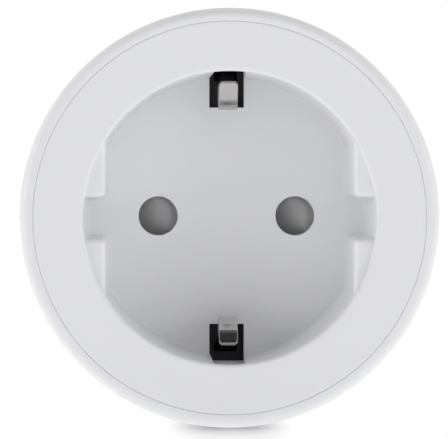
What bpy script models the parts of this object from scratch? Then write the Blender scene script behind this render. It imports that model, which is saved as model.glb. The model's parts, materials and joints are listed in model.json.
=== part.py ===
"""Round plug-in power meter: a CEE 7/3 socket and a CEE 7/4 plug on the ends of one barrel.

Frame: the barrel lies along Y, the socket faces -Y and the plug pins point to +Y. The origin is the centre of
the flat end of the plug's boss. Sizes are in millimetres and are turned into metres where meshes are made.
Depths are measured from the socket's front face towards the plug.
"""

from math import acos, asin, cos, degrees, pi, radians, sin, tan

import bmesh
import bpy
from mathutils import Matrix, Vector

MM = 0.001

# Whole body
BARREL_RADIUS = 28.0
BARREL_LENGTH = 48.0
BOSS_LENGTH = 16.8
PIN_LENGTH = 19.0
PIN_SPACING = 19.0
PIN_RADIUS = 2.4
EDGE_RADIUS = 1.3
GAP = 0.3
FRONT_Y = -(BARREL_LENGTH + BOSS_LENGTH)
PLUG_END = BARREL_LENGTH + BOSS_LENGTH
PIN_X = PIN_SPACING / 2

# Barrel casing
CASING_INNER = 26.3
CASING_END = 44.6
LEDGE_RADIUS = 25.75
LEDGE_START, LEDGE_END = 2.3, 4.5

# Socket face
FACE_RADIUS = 26.1
FACE_THICKNESS = 2.0
RIM_RADIUS = 20.0
RIM_FILLET = 0.45
RECESS_RADIUS = RIM_RADIUS - RIM_FILLET
RECESS_FLOOR_RADIUS = 19.25
RECESS_DEPTH = 17.5
FLOOR_THICKNESS = 2.0
FLOOR_BACK = RECESS_DEPTH + FLOOR_THICKNESS
CUP_RADIUS = 21.2
RIB_X = 16.5
RIB_TOP = 1.0
SLOT_HALF = 2.75
PIN_HOLE_RADIUS = 2.7
WINDOW_HALF = 2.4
WINDOW_INNER, WINDOW_OUTER = 15.0, 20.2
GROOVE_HALF = 2.25

# Four posts with screws hold the casing together; two stakes hold the contact carrier
POST_XZ = 16.0
POST_RADIUS = 2.1
POST_END = 38.7
SCREW_BORE = 1.3
STAKES = ((-12.0, 9.0), (12.0, -9.0))
STAKE_RADIUS = 1.1

# Contact carrier behind the socket floor
CARRIER_RADIUS = 20.0
CARRIER_START = 19.8
CARRIER_PLATE = 23.8
CARRIER_END = 25.8
SHUTTER_CHANNEL = 5.2
WELL_END = 40.0

# Shutter: a pin slides it to +X by pressing on a ramp that rises from the hole on its left
SHUTTER_TRAVEL = 5.8
SHUTTER_START, SHUTTER_END = 20.5, 22.6
SHUTTER_HALF = 4.6
SHUTTER_X = (-18.6, 13.2)
PAD_RADIUS = 2.6
PAD_SHIFT = -0.45
PAD_TOP = 19.75
RAMP_TOP_X = 1.5
RAMP_ANGLE = 22.0
TAB_X = (-3.5, -1.5)
TAB_Z = 8.2

# Shutter spring, in a pocket above the shutter
SPRING_POCKET_X = (-3.9, 8.0)
SPRING_POCKET_Z = (5.0, 8.6)
SPRING_X = (-1.0, 7.5)
SPRING_CENTRE = (21.55, 6.8)
SPRING_RADIUS = 1.05
SPRING_WIRE = 0.18

# Earth clips: the two legs are set 0.5 mm off the barrel's axis
EARTH_SHIFT = 0.5
CLIP_WIDTH = 2.55
CLIP_THICKNESS = 0.6
CLIP_LEG = 18.9
CLIP_PIVOT = 28.5
CLIP_BUMP = (10.1, 13.9)
CLIP_END = (7.4, 17.75)
CLIP_BEND = 2.0
BRIDGE_Z = 18.0

# Rear cover and plug boss
COVER_START = 44.9
BOSS_RADIUS = 18.6
BOSS_FLAT = 16.1
BOSS_RIB_HALF = 2.45
END_WALL = 2.0
CHANNEL_HALF = 3.0
CHANNEL_FLOOR = 14.3
EARTH_HOLE_Z = 10.0

# Circuit board
BOARD_RADIUS = 24.5
BOARD_START, BOARD_END = 42.6, 44.2
PARTS_BASE = BOARD_START - GAP
WIRE_HOLE = (3.2, 2.0)

# Button on top of the barrel
BUTTON_DEPTH = 37.0
BUTTON_RADIUS = 4.0
BUTTON_PROUD = 0.6
LIGHT_X = 8.2
LIGHT_HOLE = 1.3
LIGHT_TOP = 26.65

# Screws that hold the plate over the plug pins' collars
RETAINER_Z = (3.0, -5.0)

# Relay
RELAY_X = 9.2
RELAY_Z = (-15.8, -5.6)
RELAY_FRONT = 28.2
RELAY_WALL = 0.8
ARMATURE_X = 4.9
ARMATURE_PIVOT = 39.6

ROUND = 56
SMALL_ROUND = 16


def clear_scene():
    for obj in list(bpy.data.objects):
        bpy.data.objects.remove(obj, do_unlink=True)


def new_collection(name):
    collection = bpy.data.collections.new(name)
    bpy.context.scene.collection.children.link(collection)
    return collection


def paint(name, color, roughness, metallic=0.0):
    """A Principled material."""
    made = bpy.data.materials.new(name)
    made.use_nodes = True
    shader = made.node_tree.nodes["Principled BSDF"]
    shader.inputs["Base Color"].default_value = (*color, 1.0)
    shader.inputs["Roughness"].default_value = roughness
    shader.inputs["Metallic"].default_value = metallic
    return made


clear_scene()
PARTS = new_collection("plug_in_power_meter")
CUTTERS = new_collection("cutters")

WHITE = paint("white_polycarbonate", (0.80, 0.80, 0.81), 0.35)
GREY = paint("grey_shutter_plastic", (0.22, 0.22, 0.22), 0.45)
BLACK = paint("black_carrier_plastic", (0.02, 0.02, 0.022), 0.5)
NICKEL = paint("nickel_plating", (0.62, 0.60, 0.58), 0.25, 1.0)
BRASS = paint("brass", (0.72, 0.52, 0.22), 0.3, 1.0)
STEEL = paint("zinc_plated_steel", (0.55, 0.56, 0.58), 0.35, 1.0)
SPRING_STEEL = paint("spring_steel", (0.5, 0.5, 0.52), 0.3, 1.0)
WIRE_SLEEVE = paint("earth_wire_sleeve", (0.35, 0.55, 0.08), 0.5)
BOARD_GREEN = paint("board_laminate", (0.02, 0.16, 0.06), 0.45)
RELAY_BLUE = paint("relay_case_plastic", (0.03, 0.10, 0.35), 0.4)
CHIP_BLACK = paint("moulded_epoxy", (0.015, 0.015, 0.015), 0.55)
CAP_SLEEVE = paint("capacitor_sleeve", (0.03, 0.03, 0.05), 0.4)
FILM_YELLOW = paint("film_capacitor_case", (0.70, 0.55, 0.08), 0.45)
VARISTOR_BLUE = paint("varistor_coating", (0.05, 0.12, 0.42), 0.45)
FERRITE = paint("ferrite", (0.05, 0.05, 0.05), 0.7)
RESISTOR_BODY = paint("resistor_coating", (0.35, 0.45, 0.42), 0.5)
MANGANIN = paint("manganin_alloy", (0.55, 0.36, 0.25), 0.35, 1.0)
CLEAR = paint("clear_acrylic", (0.85, 0.86, 0.88), 0.1)
LED_WHITE = paint("led_package", (0.85, 0.82, 0.60), 0.4)
COIL_COPPER = paint("enamelled_copper", (0.60, 0.22, 0.08), 0.35, 1.0)


def at(x, depth, z):
    """A point in metres from millimetres, with depth counted from the front face."""
    return Vector((x, FRONT_Y + depth, z)) * MM


def add_object(name, data, material):
    """Links an object to the parts or, with no material, to the cutters."""
    obj = bpy.data.objects.new(name, data)
    if material:
        PARTS.objects.link(obj)
        data.materials.append(material)
    else:
        CUTTERS.objects.link(obj)
        obj.hide_render = True
        obj.display_type = "WIRE"
    return obj


def mesh_of(bm, name):
    mesh = bpy.data.meshes.new(name)
    bm.to_mesh(mesh)
    bm.free()
    return mesh


def finished(obj):
    """Replaces an object by a mesh of its evaluated shape, welded, with its normals facing out."""
    graph = bpy.context.evaluated_depsgraph_get()
    mesh = bpy.data.meshes.new_from_object(obj.evaluated_get(graph))
    bm = bmesh.new()
    bm.from_mesh(mesh)
    bmesh.ops.remove_doubles(bm, verts=bm.verts, dist=1e-6)
    bmesh.ops.recalc_face_normals(bm, faces=bm.faces)
    bm.to_mesh(mesh)
    bm.free()
    name, matrix, material = obj.name, obj.matrix_world.copy(), obj.active_material
    bpy.data.objects.remove(obj, do_unlink=True)
    mesh.materials.clear()
    made = add_object(name, mesh, material)
    made.matrix_world = matrix
    return smooth(made)


def smooth(obj):
    obj.data.shade_smooth()
    obj.data.set_sharp_from_angle(angle=radians(35))
    return obj


def block(name, x_range, depth_range, z_range, material=None, bevel=0.0):
    """A box between three pairs of limits."""
    low = at(x_range[0], depth_range[0], z_range[0])
    high = at(x_range[1], depth_range[1], z_range[1])
    bm = bmesh.new()
    bmesh.ops.create_cube(bm, size=1.0)
    bmesh.ops.scale(bm, vec=high - low, verts=bm.verts)
    obj = add_object(name, mesh_of(bm, name), material)
    obj.location = (low + high) / 2
    if bevel:
        round_edges(obj, bevel)
    return obj


def rod(name, radius, centre, ends, material=None, axis="Y", segments=SMALL_ROUND):
    """A cylinder. Along Y, centre is (x, z); along X, (depth, z); along Z, (x, depth)."""
    length = ends[1] - ends[0]
    middle = (ends[0] + ends[1]) / 2
    bm = bmesh.new()
    bmesh.ops.create_cone(
        bm, cap_ends=True, segments=segments, radius1=radius * MM, radius2=radius * MM, depth=length * MM
    )
    if axis != "Z":
        turn = Matrix.Rotation(pi / 2, 3, "X" if axis == "Y" else "Y")
        bmesh.ops.rotate(bm, matrix=turn, verts=bm.verts)
    obj = add_object(name, mesh_of(bm, name), material)
    places = {
        "Y": (centre[0], middle, centre[1]),
        "X": (middle, centre[0], centre[1]),
        "Z": (centre[0], centre[1], middle),
    }
    obj.location = at(*places[axis])
    return smooth(obj)


def turned(name, profile, material=None, centre=(0.0, 0.0), segments=ROUND):
    """A shape turned about Y from (radius, depth) points. A profile that starts on the axis ends on it."""
    bm = bmesh.new()
    verts = [bm.verts.new(at(radius, depth, 0)) for radius, depth in profile]
    for first, second in zip(verts, verts[1:]):
        bm.edges.new((first, second))
    if profile[0][0] > 0:
        bm.edges.new((verts[-1], verts[0]))
    obj = add_object(name, mesh_of(bm, name), material)
    screw = obj.modifiers.new("turn", "SCREW")
    screw.axis = "Y"
    screw.steps = screw.render_steps = segments
    screw.use_merge_vertices = True
    screw.merge_threshold = 1e-5
    obj = finished(obj)
    obj.location = (centre[0] * MM, 0, centre[1] * MM)
    return obj


def prism(name, outline, depth_range, material=None):
    """A flat outline of (x, z) points, drawn as one face and extruded along the barrel."""
    bm = bmesh.new()
    face = bm.faces.new([bm.verts.new(at(x, depth_range[0], z)) for x, z in outline])
    extruded = bmesh.ops.extrude_face_region(bm, geom=[face])
    far_side = [part for part in extruded["geom"] if isinstance(part, bmesh.types.BMVert)]
    reach = (depth_range[1] - depth_range[0]) * MM
    bmesh.ops.translate(bm, vec=(0, reach, 0), verts=far_side)
    bmesh.ops.recalc_face_normals(bm, faces=bm.faces)
    return smooth(add_object(name, mesh_of(bm, name), material))


def strip(name, path, width, thickness, material, x=0.0):
    """A bent metal strip of constant width in X along a path of (depth, z) points."""
    bm = bmesh.new()
    rows = [[bm.verts.new(at(x + side * width / 2, depth, z)) for side in (-1, 1)] for depth, z in path]
    for (a, b), (c, d) in zip(rows, rows[1:]):
        bm.faces.new((a, b, d, c))
    obj = add_object(name, mesh_of(bm, name), material)
    solidify = obj.modifiers.new("thickness", "SOLIDIFY")
    solidify.thickness = thickness * MM
    solidify.offset = 0
    solidify.use_even_offset = True
    return finished(obj)


def tube_along(name, points, radius, material, resolution=1):
    """A round wire through (x, depth, z) points."""
    curve = bpy.data.curves.new(name, "CURVE")
    curve.dimensions = "3D"
    curve.bevel_depth = radius * MM
    curve.bevel_resolution = resolution
    curve.use_fill_caps = True
    spline = curve.splines.new("POLY")
    spline.points.add(len(points) - 1)
    for point, place in zip(spline.points, points):
        point.co = (*at(*place), 1)
    return finished(add_object(name, curve, material))


def arc(centre, radius, start, end, steps):
    """Points on an arc, by angles in degrees."""
    angles = [radians(start + (end - start) * i / steps) for i in range(steps + 1)]
    return [(centre[0] + radius * cos(a), centre[1] + radius * sin(a)) for a in angles]


def rounded(points, radius, steps=4, closed=False):
    """The points of a path with each corner replaced by an arc."""
    count = len(points)
    corners = range(count) if closed else range(1, count - 1)
    out = [] if closed else [points[0]]
    for i in corners:
        corner = Vector(points[i])
        back = (Vector(points[i - 1]) - corner).normalized()
        ahead = (Vector(points[(i + 1) % count]) - corner).normalized()
        half = back.angle(ahead) / 2
        reach = radius / tan(half)
        centre = corner + (back + ahead).normalized() * radius / sin(half)
        first = corner + back * reach - centre
        turn = first.angle_signed(corner + ahead * reach - centre)
        for step in range(steps + 1):
            out.append(tuple(centre + first @ Matrix.Rotation(turn * step / steps, 2)))
    return out if closed else out + [points[-1]]


def four_quadrants(quadrant):
    """A closed outline from its part with x and z positive, which runs from the Z axis to the X axis."""
    right = quadrant + [(x, -z) for x, z in reversed(quadrant) if z > 1e-6]
    return right + [(-x, z) for x, z in reversed(right) if x > 1e-6]


def rectangle(x_range, z_range, radius):
    (x0, x1), (z0, z1) = x_range, z_range
    return rounded([(x0, z0), (x1, z0), (x1, z1), (x0, z1)], radius, 3, closed=True)


def round_edges(obj, width, segments=2):
    bevel = obj.modifiers.new("rounding", "BEVEL")
    bevel.width = width * MM
    bevel.segments = segments
    bevel.limit_method = "ANGLE"
    bevel.angle_limit = radians(50)
    return obj


def mirrored(obj, axes):
    """A copy across each named plane through the barrel's axis, for an operand of a Boolean."""
    mirror = obj.modifiers.new("mirror", "MIRROR")
    mirror.use_axis = ("X" in axes, False, "Z" in axes)
    mirror.use_mirror_merge = False
    mirror.mirror_object = AXIS
    return obj


def boolean(target, others, operation):
    for other in others:
        modifier = target.modifiers.new(other.name, "BOOLEAN")
        modifier.operation = operation
        modifier.solver = "EXACT"
        modifier.object = other
    return target


def cut(target, *cutters):
    return boolean(target, cutters, "DIFFERENCE")


def fuse(target, *others):
    return boolean(target, others, "UNION")


def set_origin(obj, x, depth, z):
    """Moves an object's origin without moving its shape."""
    bpy.context.view_layer.update()
    place = at(x, depth, z)
    offset = obj.matrix_world.inverted() @ place
    obj.data.transform(Matrix.Translation(-offset))
    obj.location = place
    return obj


AXIS = bpy.data.objects.new("barrel_axis", None)
CUTTERS.objects.link(AXIS)
AXIS.hide_render = True
AXIS.location = at(0, 0, 0)
POST_PLACES = [(x, z) for x in (-POST_XZ, POST_XZ) for z in (-POST_XZ, POST_XZ)]
SIDES = {"line": PIN_X, "neutral": -PIN_X}


# ---- Housing ----------------------------------------------------------------------------------------------


def make_barrel_casing():
    profile = [(CASING_INNER, 0)]
    profile += arc((BARREL_RADIUS - EDGE_RADIUS, EDGE_RADIUS), EDGE_RADIUS, -90, 0, 4)
    profile += [
        (BARREL_RADIUS, CASING_END),
        (CASING_INNER, CASING_END),
        (CASING_INNER, LEDGE_END),
        (LEDGE_RADIUS, LEDGE_END),
        (LEDGE_RADIUS, LEDGE_START),
        (CASING_INNER, LEDGE_START),
    ]
    casing = turned("barrel_casing", profile, WHITE)
    top = (CASING_INNER - 3, BARREL_RADIUS + 3)
    cut(
        casing,
        rod("button_hole", BUTTON_RADIUS + GAP, (0, BUTTON_DEPTH), top, axis="Z"),
        rod("light_hole", LIGHT_HOLE, (LIGHT_X, BUTTON_DEPTH), top, axis="Z", segments=16),
    )


def guide_ribs():
    """Four ribs that narrow the recess at its sides and leave a slot between each two."""
    outer = (RECESS_RADIUS + CUP_RADIUS) / 2
    corner = rounded([(outer, SLOT_HALF), (RIB_X, SLOT_HALF), (RIB_X, 2 * SLOT_HALF)], 0.8)
    start, end = degrees(acos(RIB_X / outer)), degrees(asin(SLOT_HALF / outer))
    outline = corner[1:-1] + arc((0, 0), outer, start, end, 6)
    rib = prism("guide_rib", outline, (RIB_TOP, RECESS_DEPTH + FLOOR_THICKNESS / 2))
    return mirrored(rib, "XZ")


def earth_windows():
    """Openings in the floor for the earth clips, each running on as a shallow groove up the wall."""
    z_range = (WINDOW_INNER, WINDOW_OUTER)
    window = block("earth_window", (-WINDOW_HALF, WINDOW_HALF), (RECESS_DEPTH - 1, FLOOR_BACK + 1), z_range)
    groove = block("earth_groove", (-GROOVE_HALF, GROOVE_HALF), (RIM_FILLET, RECESS_DEPTH), z_range)
    return mirrored(window, "Z"), mirrored(groove, "Z")


def make_socket_face():
    profile = [(0, RECESS_DEPTH), (RECESS_FLOOR_RADIUS, RECESS_DEPTH)]
    profile += arc((RIM_RADIUS, RIM_FILLET), RIM_FILLET, 180, 270, 3)
    profile += [
        (FACE_RADIUS - 0.2, 0),
        (FACE_RADIUS, 0.2),
        (FACE_RADIUS, FACE_THICKNESS),
        (CUP_RADIUS, FACE_THICKNESS),
        (CUP_RADIUS, FLOOR_BACK),
        (0, FLOOR_BACK),
    ]
    face = turned("socket_face", profile, WHITE)
    fuse(face, guide_ribs())
    post = rod("post", POST_RADIUS, (POST_XZ, POST_XZ), (FACE_THICKNESS / 2, POST_END), segments=20)
    fuse(face, mirrored(post, "XZ"))
    for i, place in enumerate(STAKES):
        ends = (FLOOR_BACK - 1, CARRIER_END + 1.2)
        fuse(face, rod(f"stake_{i + 1}", STAKE_RADIUS, place, ends, segments=16))
    cut(face, *earth_windows())
    pin_hole = rod("pin_hole", PIN_HOLE_RADIUS, (PIN_X, 0), (RECESS_DEPTH - 1, FLOOR_BACK + 1), segments=32)
    cut(face, mirrored(pin_hole, "X"))
    bore = rod("post_bore", SCREW_BORE, (POST_XZ, POST_XZ), (POST_END - 8, POST_END + 1), segments=16)
    cut(face, mirrored(bore, "XZ"))


def boss_outline():
    """The plug's round boss with side flats, a guide rib on each flat and an earth channel top and bottom."""
    quadrant = [(0, CHANNEL_FLOOR), (CHANNEL_HALF, CHANNEL_FLOOR)]
    start = degrees(acos(CHANNEL_HALF / BOSS_RADIUS))
    quadrant += arc((0, 0), BOSS_RADIUS, start, degrees(acos(BOSS_FLAT / BOSS_RADIUS)), 7)
    quadrant += [(BOSS_FLAT, BOSS_RIB_HALF)]
    quadrant += arc((0, 0), BOSS_RADIUS, degrees(asin(BOSS_RIB_HALF / BOSS_RADIUS)), 0, 2)
    return four_quadrants(quadrant)


def hollow_outline():
    """The space inside the boss, which leaves walls round the earth channels."""
    radius, side, block_half = BOSS_RADIUS - 2.2, BOSS_FLAT - 2.1, CHANNEL_HALF + 1.5
    quadrant = [(0, CHANNEL_FLOOR - 1.9), (block_half, CHANNEL_FLOOR - 1.9)]
    quadrant += arc((0, 0), radius, degrees(acos(block_half / radius)), degrees(acos(side / radius)), 6)
    quadrant += [(side, 0)]
    return four_quadrants(quadrant)


def make_rear_cover():
    profile = [(0, COVER_START), (24.9, COVER_START), (24.9, 42.5), (25.9, 42.5), (25.9, COVER_START)]
    profile += [(BARREL_RADIUS, COVER_START)]
    profile += arc((BARREL_RADIUS - EDGE_RADIUS, BARREL_LENGTH - EDGE_RADIUS), EDGE_RADIUS, 0, 90, 4)
    profile += [(0, BARREL_LENGTH)]
    cover = turned("rear_cover", profile, WHITE)
    boss = prism("boss", boss_outline(), (BARREL_LENGTH - 1, PLUG_END))
    fuse(cover, boss)
    hollow_end = PLUG_END - END_WALL
    cut(cover, prism("boss_hollow", hollow_outline(), (COVER_START - 1, hollow_end)))
    fuse(cover, *retainer_rods("retainer_post", 1.9, (60.0, hollow_end + 1)))
    tubes = mirrored(rod("screw_tube", 3.0, (POST_XZ, POST_XZ), (BOARD_END + GAP, 46), segments=20), "XZ")
    noses = mirrored(rod("tube_nose", 2.4, (POST_XZ, POST_XZ), (POST_END + GAP, 46), segments=20), "XZ")
    fuse(cover, tubes, noses)
    bores = mirrored(rod("tube_bore", SCREW_BORE, (POST_XZ, POST_XZ), (POST_END, 46), segments=16), "XZ")
    recesses = mirrored(rod("head_recess", 2.2, (POST_XZ, POST_XZ), (45.5, 49), segments=20), "XZ")
    through = (hollow_end - 1, PLUG_END + 1)
    pin_holes = mirrored(rod("cover_pin_hole", PIN_RADIUS + GAP, (PIN_X, 0), through), "X")
    earth_hole = rod("cover_earth_hole", 2.55, (0, EARTH_HOLE_Z), through)
    earth_relief = rod("earth_tube_relief", 3.3, (0, EARTH_HOLE_Z), (52, hollow_end))
    strip_slots = mirrored(block("strip_slot", (-2.3, 2.3), (49.9, 51.5), (12.0, 17.0)), "Z")
    cut(cover, bores, recesses, pin_holes, earth_hole, earth_relief, strip_slots)
    cut(cover, *retainer_rods("retainer_bore", 1.1, (59.0, 62.2)))


def screw_mesh(name, shaft_radius, head_radius, head_height, length, material):
    """A pan-head screw with a cross recess, its head's seat at the origin and its shaft along -Y."""
    profile = [
        (0, -length),
        (shaft_radius * 0.5, 1 - length),
        (shaft_radius, 2 - length),
        (shaft_radius, 0),
        (head_radius, 0),
        (head_radius, head_height * 0.6),
        (head_radius * 0.75, head_height),
        (0, head_height),
    ]
    screw = turned(name, [(r, d - FRONT_Y) for r, d in profile], material, segments=20)
    arms = [(0.25, head_radius * 0.6), (head_radius * 0.6, 0.25)]
    for i, (x, z) in enumerate(arms):
        arm_depth = (head_height * 0.45 - FRONT_Y, head_height + 1 - FRONT_Y)
        cut(screw, block(f"{name}_recess_{i}", (-x, x), arm_depth, (-z, z)))
    return finished(screw)


def make_screws(name, places, depth, turn, *sizes):
    """Screws that share one mesh, turned about Z so that their shafts point along -Y or +Y."""
    first = screw_mesh(f"{name}_1", *sizes, STEEL)
    for i, (x, z) in enumerate(places):
        screw = first if i == 0 else bpy.data.objects.new(f"{name}_{i + 1}", first.data)
        if i > 0:
            PARTS.objects.link(screw)
        screw.location = at(x, depth, z)
        screw.rotation_euler = (0, 0, turn)


# ---- Plug side --------------------------------------------------------------------------------------------


def retainer_rods(name, radius, ends):
    return [rod(f"{name}_{i + 1}", radius, (0, z), ends, segments=16) for i, z in enumerate(RETAINER_Z)]


def make_plug_pins():
    tip = PLUG_END + PIN_LENGTH
    profile = [(0, 42.0), (1.2, 42.0), (1.2, 60.0), (3.4, 60.0), (3.4, 62.5), (PIN_RADIUS, 62.5)]
    dome = PIN_RADIUS * 0.8
    profile += [(PIN_RADIUS * c, tip - dome + dome * s) for c, s in arc((0, 0), 1, 0, 67.5, 3)]
    profile += [(0, tip)]
    for side, x in SIDES.items():
        turned(f"plug_pin_{side}", profile, NICKEL, (x, 0), SMALL_ROUND)


def make_pin_retainer():
    plate = prism("pin_retainer", rectangle((-13.2, 13.2), (-6.3, 6.3), 2.0), (57.2, 59.7), WHITE)
    through = (56, 61)
    cut(plate, mirrored(rod("retainer_pin_hole", 1.5, (PIN_X, 0), through, segments=16), "X"))
    cut(plate, *retainer_rods("retainer_hole", 1.1, through))


def make_plug_earth():
    contact_z = CHANNEL_FLOOR + 0.6
    for side, sign in (("upper", 1), ("lower", -1)):
        corners = [(PLUG_END - 1.2, sign * contact_z), (50.7, sign * contact_z), (50.7, sign * 11.0)]
        strip(f"plug_earth_contact_{side}", rounded(corners, 0.8), 4.0, 0.6, NICKEL)
    block("rear_earth_strap", (-2, 2), (51.3, 51.9), (-11.5, 11.5), BRASS)
    tube = [(2.5, 52.5), (2.95, 52.5), (2.95, 62.5), (2.5, 62.5)]
    turned("earth_socket_tube", tube, NICKEL, (0, EARTH_HOLE_Z), SMALL_ROUND)


# ---- Socket side ------------------------------------------------------------------------------------------


def leg_slots():
    """Slots in the carrier's plate that the clips' legs pass through, with room for the legs to flex outwards."""
    slots = []
    for side, sign in (("upper", 1), ("lower", -1)):
        leg_z = sign * CLIP_LEG + EARTH_SHIFT
        z_range = sorted((leg_z - sign * 0.6, leg_z + sign * 0.8))
        slots.append(block(f"leg_slot_{side}", (-1.6, 1.6), (CARRIER_PLATE - 1, CARRIER_END + 1), z_range))
    return slots


def make_contact_carrier():
    carrier = rod("contact_carrier", CARRIER_RADIUS, (0, 0), (CARRIER_START, CARRIER_END), BLACK, segments=40)
    pocket_wall = block("pocket_wall", (-3.6, 3.6), (CARRIER_START, CARRIER_END), (13.8, 21.5))
    well = block("well", (PIN_X - 4.3, PIN_X + 4.3), (CARRIER_END - 1, WELL_END), (-5, 5))
    fuse(carrier, mirrored(pocket_wall, "Z"), mirrored(well, "X"))
    front = CARRIER_START - 1
    channel = block("shutter_channel", (-22, 22), (front, CARRIER_PLATE), (-SHUTTER_CHANNEL, SHUTTER_CHANNEL))
    spring_pocket = block("spring_pocket", SPRING_POCKET_X, (front, CARRIER_PLATE), SPRING_POCKET_Z)
    clip_pocket = block("clip_pocket", (-2.7, 2.7), (front, CARRIER_PLATE), (14.7, 20.7))
    pin_hole = rod("carrier_pin_hole", PIN_RADIUS + 0.5, (PIN_X, 0), (CARRIER_PLATE - 1, CARRIER_END + 1))
    well_space = block("well_space", (PIN_X - 3.2, PIN_X + 3.2), (CARRIER_END, WELL_END + 1), (-4, 4))
    cut(carrier, channel, spring_pocket, mirrored(clip_pocket, "Z"), *leg_slots())
    cut(carrier, mirrored(pin_hole, "X"), mirrored(well_space, "X"))
    for i, place in enumerate(STAKES):
        ends = (front, CARRIER_END + 1)
        cut(carrier, rod(f"stake_hole_{i + 1}", STAKE_RADIUS + GAP, place, ends, segments=16))


def ramp_relief(name, x):
    """The space over a pad's ramp, which starts near the pad's right edge and runs down to the left."""
    length, height = 6.0, 4.0
    relief = block(name, (-length, 0), (-height, 0), (-PAD_RADIUS, PAD_RADIUS))
    set_origin(relief, 0, 0, 0)
    relief.location = at(x + RAMP_TOP_X, PAD_TOP, 0)
    relief.rotation_euler = (0, 0, -radians(RAMP_ANGLE))
    return relief


def make_shutter():
    outline = rectangle(SHUTTER_X, (-SHUTTER_HALF, SHUTTER_HALF), 2.0)
    shutter = prism("shutter", outline, (SHUTTER_START, SHUTTER_END), GREY)
    for i, x in enumerate(SIDES.values()):
        pad_x = x + PAD_SHIFT
        fuse(shutter, rod(f"pad_{i}", PAD_RADIUS, (pad_x, 0), (PAD_TOP, SHUTTER_END - 1), segments=24))
        cut(shutter, ramp_relief(f"ramp_relief_{i}", pad_x))
        through = (SHUTTER_START - 1, SHUTTER_END + 1)
        cut(shutter, rod(f"shutter_hole_{i}", PIN_HOLE_RADIUS, (x - SHUTTER_TRAVEL, 0), through))
    fuse(shutter, block("spring_tab", TAB_X, (SHUTTER_START, SHUTTER_END), (SHUTTER_HALF - 1, TAB_Z)))


def make_shutter_spring():
    """A coil between the pocket's end wall and the shutter's tab."""
    turns, per_turn = 6, 8
    (start, end), (depth, z) = SPRING_X, SPRING_CENTRE
    points = []
    for i in range(turns * per_turn + 1):
        angle = 2 * pi * i / per_turn
        x = start + (end - start) * i / (turns * per_turn)
        points.append((x, depth + SPRING_RADIUS * cos(angle), z + SPRING_RADIUS * sin(angle)))
    tube_along("shutter_spring", points, SPRING_WIRE, SPRING_STEEL)


def make_pin_contacts():
    """A folded strip that grips each pin, with a tail soldered into the board."""
    leaf = [(26.8, 3.3), (30.5, 2.1), (40.6, 2.7)]
    path = leaf + [(depth, -z) for depth, z in reversed(leaf)]
    for side, x in SIDES.items():
        contact = strip(f"{side}_contact", rounded(path, 0.8), 4.0, 0.6, BRASS, x)
        out = 1 if x > 0 else -1
        foot = sorted((x + out, x + out * 4.5))
        tail = sorted((x + out * 3.9, x + out * 4.5))
        fuse(contact, block(f"{side}_foot", foot, (40.3, 40.9), (-1, 1)))
        fuse(contact, block(f"{side}_tail", tail, (40.4, 45.2), (-0.9, 0.9)))


def clip_path(sign):
    """From the foot of a leg forwards to the inward bump and the flared free end."""
    points = [(31.0, CLIP_LEG), (21.0, CLIP_LEG), CLIP_BUMP, CLIP_END]
    return rounded([(depth, sign * z + EARTH_SHIFT) for depth, z in points], CLIP_BEND)


def make_earth_clips():
    for side, sign in (("upper", 1), ("lower", -1)):
        leg_z = sign * CLIP_LEG + EARTH_SHIFT
        clip = strip(f"earth_clip_{side}", clip_path(sign), CLIP_WIDTH, CLIP_THICKNESS, NICKEL)
        set_origin(clip, 0, CLIP_PIVOT, leg_z)
        hole_ends = sorted((leg_z - 1, leg_z + 1))
        cut(clip, rod(f"clip_hole_{side}", 1.0, (0, CLIP_PIVOT), hole_ends, axis="Z", segments=16))
        make_earth_rivet(side, sign, leg_z)


def make_earth_rivet(side, sign, leg_z):
    tab_z = sign * BRIDGE_Z + EARTH_SHIFT
    inner, outer = tab_z - sign * 0.6, leg_z + sign * 0.6
    ends = sorted((inner - sign * 0.3, outer + sign * 0.3))
    rivet = rod(f"earth_rivet_{side}", 0.75, (0, CLIP_PIVOT), ends, NICKEL, "Z", 16)
    for i, (z, away) in enumerate(((inner, -sign), (outer, sign))):
        head = sorted((z, z + away * 0.6))
        fuse(rivet, rod(f"rivet_head_{side}_{i}", 1.3, (0, CLIP_PIVOT), head, axis="Z", segments=16))


def make_earth_bridge():
    """A U-shaped strip that joins the two clips behind the carrier."""
    ends = [(31.0, BRIDGE_Z), (26.6, BRIDGE_Z), (26.6, -BRIDGE_Z), (31.0, -BRIDGE_Z)]
    path = [(depth, z + EARTH_SHIFT) for depth, z in ends]
    bridge = strip("earth_bridge", rounded(path, 0.8), 4.0, 0.6, BRASS)
    for side, sign in (("upper", 1), ("lower", -1)):
        z = sign * BRIDGE_Z + EARTH_SHIFT
        cut(bridge, rod(f"bridge_hole_{side}", 1.0, (0, CLIP_PIVOT), (z - 1, z + 1), axis="Z", segments=16))


def make_earth_wire():
    x, z = WIRE_HOLE
    near = 1.0
    points = [(near, 27.3, z), (near, 29, z), (x, 32.5, z), (x, 46.5, z), (near, 49.3, z), (near, 50.9, z)]
    tube_along("earth_wire", points, 1.05, WIRE_SLEEVE, 2)


# ---- Electronics ------------------------------------------------------------------------------------------


def make_main_board():
    board = rod("main_board", BOARD_RADIUS, (0, 0), (BOARD_START, BOARD_END), BOARD_GREEN, segments=36)
    through = (BOARD_START - 1, BOARD_END + 1)
    tube_holes = mirrored(rod("board_tube_hole", 2.7, (POST_XZ, POST_XZ), through, segments=20), "XZ")
    tail_holes = mirrored(rod("board_pin_hole", 1.6, (PIN_X, 0), through, segments=16), "X")
    slots = mirrored(block("board_slot", (PIN_X + 3.6, PIN_X + 4.8), through, (-1.2, 1.2)), "X")
    wire_hole = rod("board_wire_hole", 1.5, WIRE_HOLE, through, segments=16)
    cut(board, tube_holes, tail_holes, slots, wire_hole)


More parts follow.
